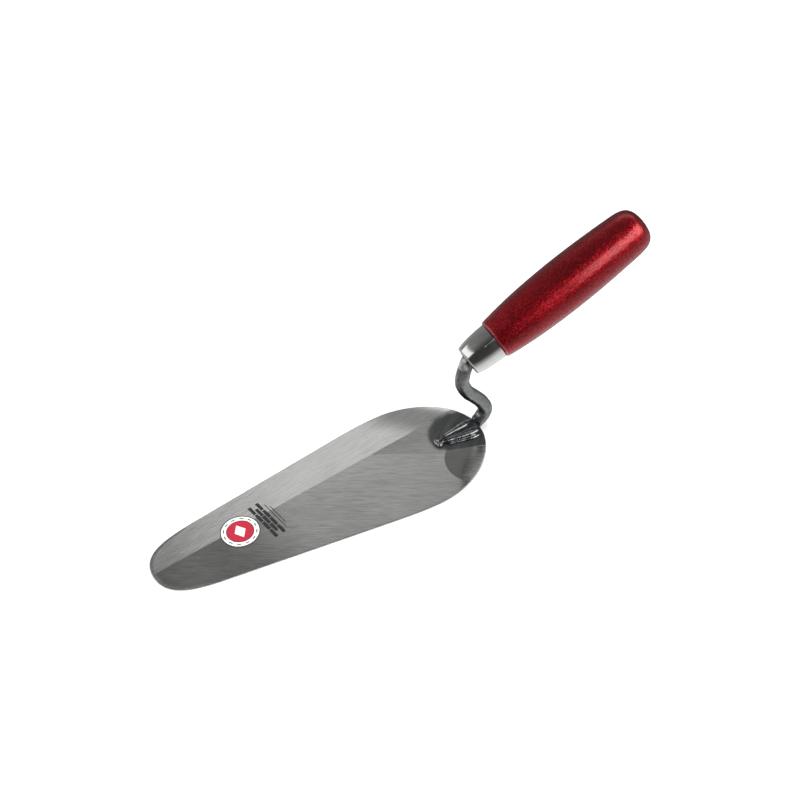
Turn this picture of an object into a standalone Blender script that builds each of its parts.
"""Bricklayer's trowel: a tongue-shaped blade, a swan-necked tang welded to it, a ferrule and a turned wooden handle.

+X runs from the blade's tip to the handle's butt, +Z is up, and the blade's flat underside lies at z = 0. The user
holds the handle and looks towards the tip, so -Y is the user's left. Lengths along X are measured from the tip. The
empty that every piece hangs from then puts the origin under the middle of the whole tool.
"""

import math

import bmesh
import bpy
from mathutils import Matrix, Vector
from mathutils.geometry import interpolate_bezier

MM = 0.001
GAP = 0.3 * MM  # between pieces that touch

# Blade: one half of its outline, tip to heel. The other half mirrors it.
BLADE_LENGTH = 220 * MM
SIDE_START = Vector((40.7, 25.6, 0)) * MM
SIDE_END = Vector((132.2, 37.7, 0)) * MM
WIDEST = Vector((170.5, 41.2, 0)) * MM
TIP_REACH = 20.2 * MM  # how far each Bezier handle reaches from its point
SIDE_START_REACH = 21.5 * MM
SIDE_END_REACH = 22.3 * MM
WIDEST_REACH_FRONT = 9 * MM
WIDEST_REACH_BACK = 25.5 * MM
HEEL_REACH = 20.9 * MM
OUTLINE_STEPS = 14

# The top is ground in two facets that meet at a ridge, which drifts to the right as it nears the heel.
PLATE_THICKNESS = 2.2 * MM
RIDGE_TIP = Vector((0, 0.5, 1.1)) * MM
RIDGE_HEEL = Vector((220, 20.7, 1.9)) * MM
LEFT_EDGE_THICKNESS = 0.9 * MM
RIGHT_EDGE_THICKNESS = 0.9 * MM
RIM_BEVEL = 0.25 * MM
CUTTER_SIZE = 500 * MM

# Handle: its axis leaves the ferrule's mouth and rises towards the butt.
MOUTH = Vector((214.8, 0, 59.7)) * MM
HANDLE_TILT = math.radians(22.1)
TURNED_STEPS = 40

FERRULE_LENGTH = 20 * MM
FERRULE_WALL = 0.9 * MM
FERRULE_HOLE_RADIUS = 6.3 * MM
FERRULE_FACE_RADIUS = 8.4 * MM
FERRULE_FRONT_RADIUS = 9.5 * MM
FERRULE_BACK_RADIUS = 11.5 * MM
FERRULE_EDGE = 1.0 * MM

HANDLE_FRONT_RADIUS = 12.8 * MM
HANDLE_LIP = 1.3 * MM
HANDLE_BELLY_AT = 76 * MM
HANDLE_BELLY_RADIUS = 16.15 * MM
HANDLE_SHOULDER_AT = 118 * MM
HANDLE_SHOULDER_RADIUS = 14.6 * MM
HANDLE_LENGTH = 132.5 * MM  # from the ferrule's mouth to the butt
# How far the profile's Bezier handles reach along the axis or the radius, and lean off it.
BUTT_REACH = 12.5 * MM
SHOULDER_REACH_BACK = 9.3 * MM
SHOULDER_LEAN_BACK = 0.7 * MM
SHOULDER_REACH_FRONT = 12 * MM
SHOULDER_LEAN_FRONT = 0.8 * MM
BELLY_REACH_BACK = 12 * MM
BELLY_REACH_FRONT = 22 * MM
FRONT_REACH = 14.5 * MM
FRONT_LEAN = 2.2 * MM
BORE_MOUTH_RADIUS = 6.3 * MM
BORE_MOUTH_DEPTH = 13 * MM
BORE_RADIUS = 4.9 * MM
BORE_END_RADIUS = 2.8 * MM
BORE_DEPTH = 86 * MM

# Tang: the foot rests on the blade, the neck is round bar, and the spike in the handle is square.
FOOT_BASE_Z = 1.95 * MM
FOOT_MIDDLE_X = 205 * MM
FOOT_CUTTER_SIZE = Vector((80, 40, 20)) * MM
NECK_RADIUS = 4.4 * MM
SPIKE_HALF_WIDTH = 3.3 * MM
SPIKE_TIP_HALF_WIDTH = 1.6 * MM
SPIKE_START = 17 * MM
SPIKE_DEPTH = 82 * MM
ROUND = 2.0  # exponents of a section's outline: 2 is an ellipse, and more is squarer
FORGED = 3.0
SQUARE = 5.0
SECTION_POINTS = 18
STEPS_PER_STATION = 3

# Welds
BEAD_TOE_RADIUS = 1.0 * MM
BEAD_HEEL_RADIUS = 1.4 * MM
BEAD_START_X = 195 * MM
BEAD_END_X = 216.5 * MM
BEAD_START_Y = 2.2 * MM  # where the bead's inner side starts and ends, clear of the foot
BEAD_END_Y = 4.7 * MM
BEAD_POINTS = 5
TOE_WELD_CENTRE = Vector((190.4, 0.2, 2.1)) * MM
TOE_WELD_SIZE = Vector((4.4, 7.2, 5.0)) * MM
TOE_WELD_CUTTER_SIZE = Vector((20, 20, 10)) * MM


def clear_scene():
    for obj in list(bpy.data.objects):
        bpy.data.objects.remove(obj, do_unlink=True)


def new_collection(name, hidden=False):
    collection = bpy.data.collections.new(name)
    collection.hide_render = hidden
    bpy.context.scene.collection.children.link(collection)
    return collection


def new_material(name, color, metallic, roughness):
    material = bpy.data.materials.new(name)
    material.use_nodes = True
    shader = material.node_tree.nodes["Principled BSDF"]
    shader.inputs["Base Color"].default_value = (*color, 1)
    shader.inputs["Metallic"].default_value = metallic
    shader.inputs["Roughness"].default_value = roughness
    return material


def object_of(name, data, material):
    obj = bpy.data.objects.new(name, data)
    obj.data.materials.append(material)
    PARTS.objects.link(obj)
    obj.parent = TROWEL
    return obj


def smooth(mesh, angle=30):
    mesh.shade_smooth()
    mesh.set_sharp_from_angle(angle=math.radians(angle))


def cutter_box(name, size, matrix):
    """A box, size long on each local axis, that cuts other pieces and isn't one itself."""
    mesh = bpy.data.meshes.new(name)
    work = bmesh.new()
    bmesh.ops.create_cube(work, size=1)
    bmesh.ops.scale(work, vec=size, verts=work.verts)
    work.to_mesh(mesh)
    work.free()
    box = bpy.data.objects.new(name, mesh)
    CUTTERS.objects.link(box)
    box.parent = TROWEL
    box.matrix_local = matrix
    box.hide_render = True
    box.display_type = "WIRE"
    return box


def cut(obj, box):
    boolean = obj.modifiers.new(box.name, "BOOLEAN")
    boolean.operation = "DIFFERENCE"
    boolean.object = box


# ---------------------------------------------------------------- blade


def blade_outline():
    """The outline as (point, handle before, handle after), round the blade from the tip and back."""
    along_side = (SIDE_END - SIDE_START).normalized()
    forward = Vector((1, 0, 0))
    sideways = Vector((0, 1, 0))
    tip = Vector((0, 0, 0))
    heel = Vector((BLADE_LENGTH, 0, 0))
    half = [
        (tip, -TIP_REACH * sideways, TIP_REACH * sideways),
        (SIDE_START, -SIDE_START_REACH * along_side, SIDE_END_REACH * along_side),
        (SIDE_END, -SIDE_END_REACH * along_side, SIDE_END_REACH * along_side),
        (WIDEST, -WIDEST_REACH_FRONT * forward, WIDEST_REACH_BACK * forward),
        (heel, HEEL_REACH * sideways, -HEEL_REACH * sideways),
    ]
    mirror = Matrix.Scale(-1, 3, sideways)
    other = [(mirror @ point, mirror @ after, mirror @ before) for point, before, after in half[3:0:-1]]
    return half + other


def make_plate():
    """The blade's blank: its outline, extruded."""
    curve = bpy.data.curves.new("blade_outline", "CURVE")
    curve.dimensions = "2D"
    curve.fill_mode = "BOTH"
    curve.extrude = PLATE_THICKNESS / 2
    curve.resolution_u = OUTLINE_STEPS
    outline = blade_outline()
    spline = curve.splines.new("BEZIER")
    spline.bezier_points.add(len(outline) - 1)
    for bezier, (point, before, after) in zip(spline.bezier_points, outline):
        bezier.co = point
        bezier.handle_left = point + before
        bezier.handle_right = point + after
    spline.use_cyclic_u = True
    guide = bpy.data.objects.new("blade_outline", curve)
    bpy.context.scene.collection.objects.link(guide)
    bpy.context.view_layer.update()
    mesh = bpy.data.meshes.new_from_object(guide.evaluated_get(bpy.context.evaluated_depsgraph_get()))
    bpy.data.objects.remove(guide)
    work = bmesh.new()
    work.from_mesh(mesh)
    bmesh.ops.remove_doubles(work, verts=work.verts, dist=0.001 * MM)
    bmesh.ops.recalc_face_normals(work, faces=work.faces)
    work.to_mesh(mesh)
    work.free()
    mesh.name = "blade"
    return mesh


def facet_plane(edge_y, edge_thickness):
    """A frame on the plane through the ridge and one point of the blade's edge, its Z up out of the steel."""
    edge = Vector((WIDEST.x, edge_y, edge_thickness))
    along = (RIDGE_HEEL - RIDGE_TIP).normalized()
    normal = along.cross(edge - RIDGE_TIP).normalized()
    if normal.z < 0:
        normal.negate()
    across = normal.cross(along)
    turn = Matrix((along, across, normal)).transposed().to_4x4()
    return Matrix.Translation(RIDGE_TIP + normal * CUTTER_SIZE / 2) @ turn


def make_blade(material):
    blade = object_of("blade", make_plate(), material)
    blade.location.z = PLATE_THICKNESS / 2
    size = Vector((CUTTER_SIZE, CUTTER_SIZE, CUTTER_SIZE))
    cut(blade, cutter_box("grind_left", size, facet_plane(-WIDEST.y, LEFT_EDGE_THICKNESS)))
    cut(blade, cutter_box("grind_right", size, facet_plane(WIDEST.y, RIGHT_EDGE_THICKNESS)))
    rim = blade.modifiers.new("rim", "BEVEL")
    rim.width = RIM_BEVEL
    rim.segments = 1
    rim.limit_method = "ANGLE"
    rim.angle_limit = math.radians(50)


# ---------------------------------------------------------------- tang


def on_handle_axis(depth, above=0.0):
    """A point this deep in the handle, counted from the ferrule's mouth, and this far above its axis."""
    cos, sin = math.cos(HANDLE_TILT), math.sin(HANDLE_TILT)
    return (MOUTH.x + depth * cos - above * sin, MOUTH.z + depth * sin + above * cos)


def tang_stations():
    """Places along the bar: (x, z, half width, half height, squareness, taper towards the section's top)."""
    foot = [
        (193, 3.3, 1.6, 1.9, FORGED, 0.5),
        (197, 3.8, 2.5, 2.8, FORGED, 0.7),
        (205, 4.3, 3.5, 3.4, FORGED, 0.74),
        (212.5, 5.0, 4.3, 3.9, FORGED, 0.74),
        (216.5, 6.0, 4.5, 4.3, FORGED, 0.65),
        (218.6, 6.9, 4.5, 4.4, ROUND, 0.35),
    ]
    neck = [
        (221.5, 8.2),
        (223.9, 11.2),
        (224.7, 15.2),
        (222.3, 21.6),
        (217.8, 28.4),
        (213.4, 34.6),
        (210.7, 41.4),
        (210.4, 46.2),
        (211.6, 51.4),
    ]
    entry = [(-2, -2.0), (0.3, -0.2), (4, 0.6), (9, 0.2)]  # depth in the handle, height above its axis
    stations = []
    for x, z, width, height, square, taper in foot:
        stations.append((x * MM, z * MM, width * MM, height * MM, square, taper))
    stations += [(x * MM, z * MM, NECK_RADIUS, NECK_RADIUS, ROUND, 0) for x, z in neck]
    for depth, above in entry:
        stations.append((*on_handle_axis(depth * MM, above * MM), NECK_RADIUS, NECK_RADIUS, ROUND, 0))
    stations.append((*on_handle_axis(SPIKE_START), SPIKE_HALF_WIDTH, SPIKE_HALF_WIDTH, SQUARE, 0))
    stations.append((*on_handle_axis(SPIKE_DEPTH), SPIKE_TIP_HALF_WIDTH, SPIKE_TIP_HALF_WIDTH, SQUARE, 0))
    return [Vector(station) for station in stations]


def smooth_stations(stations):
    """Stations in between, on a smooth curve through the given ones."""
    reach = [(Vector(b[:2]) - Vector(a[:2])).length for a, b in zip(stations, stations[1:])]
    rates = [(b - a) / length for a, b, length in zip(stations, stations[1:], reach)]
    slopes = [rates[0]]
    for i in range(1, len(stations) - 1):
        slopes.append((rates[i - 1] * reach[i] + rates[i] * reach[i - 1]) / (reach[i - 1] + reach[i]))
    slopes.append(rates[-1])
    smoothed = []
    for i, length in enumerate(reach):
        start, end = stations[i], stations[i + 1]
        start_handle = start + slopes[i] * length / 3
        end_handle = end - slopes[i + 1] * length / 3
        for step in range(STEPS_PER_STATION):
            t = step / STEPS_PER_STATION
            u = 1 - t
            smoothed.append(
                start * u**3 + start_handle * 3 * u * u * t + end_handle * 3 * u * t * t + end * t**3
            )
    smoothed.append(stations[-1])
    return smoothed


def section_ring(work, station, along):
    """One closed ring of vertices, square to the bar, as a superellipse."""
    x, z, half_width, half_height, square, taper = station
    across = Vector((0, 1, 0))
    upward = along.cross(across).normalized()
    if upward.dot(Vector((-along.z, 0, along.x))) < 0:
        upward.negate()
    ring = []
    for i in range(SECTION_POINTS):
        angle = 2 * math.pi * i / SECTION_POINTS
        cos, sin = math.cos(angle), math.sin(angle)
        up = math.copysign(abs(sin) ** (2 / square), sin)
        side = math.copysign(abs(cos) ** (2 / square), cos) * (1 - taper * (up + 1) / 2)
        ring.append(work.verts.new(Vector((x, 0, z)) + across * side * half_width + upward * up * half_height))
    return ring


def make_tang(material):
    """A loft along the bar, because its sections change from forged to round to square."""
    stations = smooth_stations(tang_stations())
    work = bmesh.new()
    rings = []
    for i, station in enumerate(stations):
        before = stations[max(i - 1, 0)]
        after = stations[min(i + 1, len(stations) - 1)]
        along = Vector((after[0] - before[0], 0, after[1] - before[1])).normalized()
        rings.append(section_ring(work, station, along))
    for ring, following in zip(rings, rings[1:]):
        for i in range(SECTION_POINTS):
            j = (i + 1) % SECTION_POINTS
            work.faces.new((ring[i], ring[j], following[j], following[i]))
    work.faces.new(rings[0])
    work.faces.new(rings[-1])
    bmesh.ops.recalc_face_normals(work, faces=work.faces)
    mesh = bpy.data.meshes.new("tang")
    work.to_mesh(mesh)
    work.free()
    smooth(mesh)
    tang = object_of("tang", mesh, material)
    under = Matrix.Translation((FOOT_MIDDLE_X, 0, FOOT_BASE_Z - FOOT_CUTTER_SIZE.z / 2))
    cut(tang, cutter_box("foot_base", FOOT_CUTTER_SIZE, under))


# ---------------------------------------------------------------- welds


def make_bead(name, side, material):
    """A weld seam in the corner between the foot and the blade, on one side of the foot."""
    curve = bpy.data.curves.new(name, "CURVE")
    curve.dimensions = "3D"
    curve.bevel_depth = 1
    curve.bevel_resolution = 2
    curve.use_fill_caps = True
    spline = curve.splines.new("POLY")
    spline.points.add(BEAD_POINTS - 1)
    for i, point in enumerate(spline.points):
        share = i / (BEAD_POINTS - 1)
        x = BEAD_START_X + share * (BEAD_END_X - BEAD_START_X)
        y = BEAD_START_Y + share * (BEAD_END_Y - BEAD_START_Y)
        radius = BEAD_TOE_RADIUS + share * (BEAD_HEEL_RADIUS - BEAD_TOE_RADIUS)
        point.co = (x, side * (y + radius), FOOT_BASE_Z + GAP + radius, 1)
        point.radius = radius
    object_of(name, curve, material)


def make_toe_weld(material):
    mesh = bpy.data.meshes.new("weld_bead_toe")
    work = bmesh.new()
    bmesh.ops.create_uvsphere(work, u_segments=20, v_segments=12, radius=0.5)
    bmesh.ops.scale(work, vec=TOE_WELD_SIZE, verts=work.verts)
    work.to_mesh(mesh)
    work.free()
    smooth(mesh)
    weld = object_of("weld_bead_toe", mesh, material)
    weld.location = TOE_WELD_CENTRE
    under = Matrix.Translation((TOE_WELD_CENTRE.x, 0, FOOT_BASE_Z - TOE_WELD_CUTTER_SIZE.z / 2))
    cut(weld, cutter_box("toe_weld_base", TOE_WELD_CUTTER_SIZE, under))


# ---------------------------------------------------------------- turned pieces


def bezier(start, start_handle, end_handle, end, points):
    """Points of one profile stretch, given as (radius, depth along the axis)."""
    knots = [Vector((radius, 0, depth)) for radius, depth in (start, start_handle, end_handle, end)]
    return interpolate_bezier(*knots, points)


def make_turned(name, profile, closed, material):
    """The profile turned about the handle's axis. It runs butt to mouth outside, then back inside."""
    mesh = bpy.data.meshes.new(name)
    edges = [(i, i + 1) for i in range(len(profile) - 1)]
    if closed:
        edges.append((len(profile) - 1, 0))
    mesh.from_pydata(profile, edges, [])
    turned = object_of(name, mesh, material)
    turned.location = MOUTH
    turned.rotation_euler = (0, math.pi / 2 - HANDLE_TILT, 0)
    screw = turned.modifiers.new("turn", "SCREW")
    screw.axis = "Z"
    screw.steps = TURNED_STEPS
    screw.render_steps = TURNED_STEPS
    screw.use_merge_vertices = True
    screw.merge_threshold = 0.01 * MM
    screw.use_smooth_shade = True
    return turned


def ferrule_wall(inset):
    """The sleeve's side from back to front, this far inside its outer surface."""
    back = (FERRULE_BACK_RADIUS - inset, FERRULE_LENGTH)
    back_handle = (FERRULE_BACK_RADIUS - inset - 0.1 * MM, 13 * MM)
    front_handle = (FERRULE_FRONT_RADIUS - inset + 1.4 * MM, FERRULE_EDGE + 5 * MM)
    front = (FERRULE_FRONT_RADIUS - inset, FERRULE_EDGE)
    return bezier(back, back_handle, front_handle, front, 8)


def ferrule_profile():
    outside = ferrule_wall(0)
    edge = bezier(
        (FERRULE_FRONT_RADIUS, FERRULE_EDGE),
        (FERRULE_FRONT_RADIUS - 0.2 * MM, 0.4 * FERRULE_EDGE),
        (FERRULE_FACE_RADIUS + 0.5 * MM, 0),
        (FERRULE_FACE_RADIUS, 0),
        4,
    )
    rim = [Vector((FERRULE_HOLE_RADIUS, 0, 0)), Vector((FERRULE_HOLE_RADIUS, 0, FERRULE_WALL))]
    inside_edge = [Vector((FERRULE_FACE_RADIUS - FERRULE_WALL, 0, FERRULE_WALL))]
    inside = ferrule_wall(FERRULE_WALL)[::-1]
    return outside + edge[1:] + rim + inside_edge + inside


def handle_outside():
    """The handle's outer side, from the middle of the butt down to the front lip."""
    shoulder = (HANDLE_SHOULDER_RADIUS, HANDLE_SHOULDER_AT)
    belly = (HANDLE_BELLY_RADIUS, HANDLE_BELLY_AT)
    lip_end = FERRULE_LENGTH + GAP + HANDLE_LIP
    butt = bezier(
        (0, HANDLE_LENGTH),
        (BUTT_REACH, HANDLE_LENGTH),
        (HANDLE_SHOULDER_RADIUS - SHOULDER_LEAN_BACK, HANDLE_SHOULDER_AT + SHOULDER_REACH_BACK),
        shoulder,
        10,
    )
    back = bezier(
        shoulder,
        (HANDLE_SHOULDER_RADIUS + SHOULDER_LEAN_FRONT, HANDLE_SHOULDER_AT - SHOULDER_REACH_FRONT),
        (HANDLE_BELLY_RADIUS, HANDLE_BELLY_AT + BELLY_REACH_BACK),
        belly,
        6,
    )
    front = bezier(
        belly,
        (HANDLE_BELLY_RADIUS, HANDLE_BELLY_AT - BELLY_REACH_FRONT),
        (HANDLE_FRONT_RADIUS + FRONT_LEAN, lip_end + FRONT_REACH),
        (HANDLE_FRONT_RADIUS, lip_end),
        9,
    )
    lip = bezier(
        (HANDLE_FRONT_RADIUS, lip_end),
        (HANDLE_FRONT_RADIUS - 0.2 * MM, lip_end - 0.8 * HANDLE_LIP),
        (HANDLE_FRONT_RADIUS - 0.6 * HANDLE_LIP, FERRULE_LENGTH + GAP),
        (HANDLE_FRONT_RADIUS - HANDLE_LIP, FERRULE_LENGTH + GAP),
        4,
    )
    return butt + back[1:] + front[1:] + lip[1:]


def handle_profile():
    spigot = [point - Vector((GAP, 0, 0)) for point in ferrule_wall(FERRULE_WALL)]
    spigot[0].z = FERRULE_LENGTH + GAP
    spigot_face = FERRULE_WALL + GAP + FERRULE_EDGE
    spigot[-1].z = spigot_face
    bore = [
        Vector((BORE_MOUTH_RADIUS, 0, spigot_face)),
        Vector((BORE_MOUTH_RADIUS, 0, BORE_MOUTH_DEPTH)),
        Vector((BORE_RADIUS, 0, BORE_MOUTH_DEPTH + 1.5 * MM)),
        Vector((BORE_END_RADIUS, 0, BORE_DEPTH)),
        Vector((0, 0, BORE_DEPTH)),
    ]
    return handle_outside() + spigot + bore


def tool_length():
    """From the tip to the furthest point of the tilted butt."""
    cos, sin = math.cos(HANDLE_TILT), math.sin(HANDLE_TILT)
    return MOUTH.x + max(point.z * cos + point.x * sin for point in handle_outside())


clear_scene()
PARTS = new_collection("brick_trowel")
CUTTERS = new_collection("cutters", hidden=True)
TROWEL = bpy.data.objects.new("trowel", None)
PARTS.objects.link(TROWEL)
TROWEL.location.x = -tool_length() / 2

ground_steel = new_material("ground_steel", (0.42, 0.42, 0.41), 1.0, 0.38)
forged_steel = new_material("forged_steel", (0.20, 0.21, 0.22), 0.9, 0.40)
weld_metal = new_material("weld_metal", (0.04, 0.04, 0.045), 0.6, 0.25)
bright_nickel = new_material("bright_nickel", (0.66, 0.65, 0.62), 1.0, 0.12)
red_lacquer = new_material("red_lacquer", (0.33, 0.01, 0.02), 0.3, 0.30)

make_blade(ground_steel)
make_tang(forged_steel)
make_bead("weld_bead_left", -1, weld_metal)
make_bead("weld_bead_right", 1, weld_metal)
make_toe_weld(weld_metal)
make_turned("ferrule", ferrule_profile(), True, bright_nickel)
make_turned("handle", handle_profile(), False, red_lacquer)
